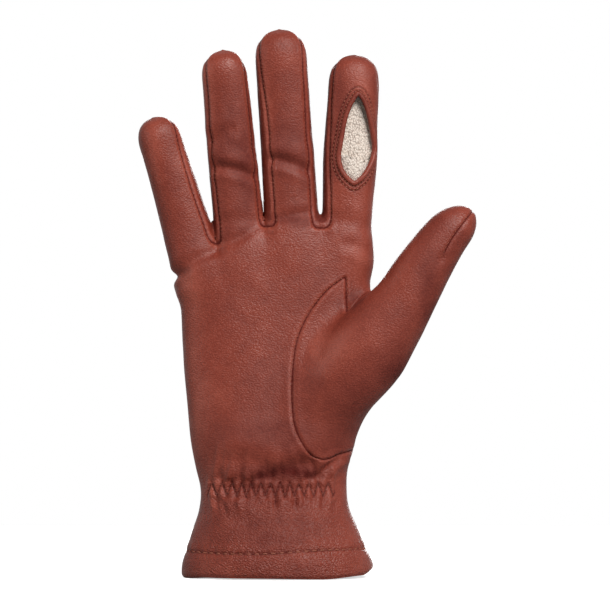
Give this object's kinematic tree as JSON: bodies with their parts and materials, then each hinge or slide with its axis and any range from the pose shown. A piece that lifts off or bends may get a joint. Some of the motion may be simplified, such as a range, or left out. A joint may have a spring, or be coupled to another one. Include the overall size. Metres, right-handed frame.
{
  "type": "touchscreen glove",
  "caption": "Lined leather right-hand dress glove with an elasticated wrist, flared cuff and a bound slit in the index finger that frees the fingertip for a touchscreen.",
  "frame": {"origin": "centre of the hand opening, in the plane of the hem", "axes": "+Z from the hem towards the fingertips, -Y out of the palm, +X towards the thumb"},
  "size_m": [0.1461, 0.0589, 0.2402],
  "materials": {
    "leather": "fine-grained nappa, soft satin",
    "lining": "cream knit, brushed",
    "thread": "polyester sewing thread, matched to the leather",
    "elastic": "woven elastic tape"
  },
  "bodies": {
    "palm": {"palm_front": "leather", "palm_back": "leather", "palm_crease": "leather", "thumb_base": "leather", "hem_fold": "leather", "wrist_elastic": "elastic", "elastic_stitching": "thread", "hem_stitching": "thread", "thumb_seam_stitching": "thread", "side_seam_stitching": "thread", "back_points_stitching": "thread", "palm_lining": "lining", "thumb_crease": "leather"},
    "finger_row": {"finger_row_front": "leather", "finger_row_back": "leather", "pinky_inner_fourchette": "leather", "ring_outer_fourchette": "leather", "ring_inner_fourchette": "leather", "middle_outer_fourchette": "leather", "middle_inner_fourchette": "leather", "index_outer_fourchette": "leather", "pinky_crease": "leather", "ring_crease": "leather", "middle_crease": "leather", "index_crease": "leather"},
    "pinky": {"pinky_upper": "leather", "pinky_lining": "lining"},
    "ring": {"ring_upper": "leather", "ring_lining": "lining"},
    "middle": {"middle_upper": "leather", "middle_lining": "lining"},
    "index": {"index_upper": "leather", "index_lining": "lining", "slit_binding": "leather", "slit_stitching": "thread"},
    "thumb": {"thumb_upper": "leather", "thumb_lining": "lining", "thumb_tip_stitching": "thread"}
  },
  "joints": [
    {"name": "knuckle_fold", "type": "hinge", "parent": "palm", "child": "finger_row", "pos_m": [0, 0, 0.1392], "axis": [0.9703, 0, 0.2419], "range_deg": [0, 65], "deforming": ["palm_crease", "palm_lining"]},
    {"name": "pinky_curl", "type": "hinge", "parent": "finger_row", "child": "pinky", "pos_m": [-0.04307, -0.00058, 0.16516], "axis": [0.9568, 0, 0.2907], "range_deg": [0, 90], "deforming": ["pinky_crease", "pinky_lining", "pinky_inner_fourchette"]},
    {"name": "ring_curl", "type": "hinge", "parent": "finger_row", "child": "ring", "pos_m": [-0.01937, -0.00067, 0.18038], "axis": [0.9959, 0, 0.0906], "range_deg": [0, 90], "deforming": ["ring_crease", "ring_lining", "ring_outer_fourchette", "ring_inner_fourchette"]},
    {"name": "middle_curl", "type": "hinge", "parent": "finger_row", "child": "middle", "pos_m": [0.00439, -0.00049, 0.18344], "axis": [0.9976, 0, 0.0698], "range_deg": [0, 90], "deforming": ["middle_crease", "middle_lining", "middle_outer_fourchette", "middle_inner_fourchette"]},
    {"name": "index_curl", "type": "hinge", "parent": "finger_row", "child": "index", "pos_m": [0.0317, -0.00033, 0.17598], "axis": [0.9988, 0, -0.0488], "range_deg": [0, 90], "deforming": ["index_crease", "index_lining", "index_outer_fourchette", "slit_binding", "slit_stitching"]},
    {"name": "thumb_bend", "type": "hinge", "parent": "palm", "child": "thumb", "pos_m": [0.0623, -0.018, 0.1329], "axis": [0.5997, -0.7071, -0.3747], "range_deg": [0, 45], "deforming": ["thumb_crease", "thumb_lining"]}
  ]
}
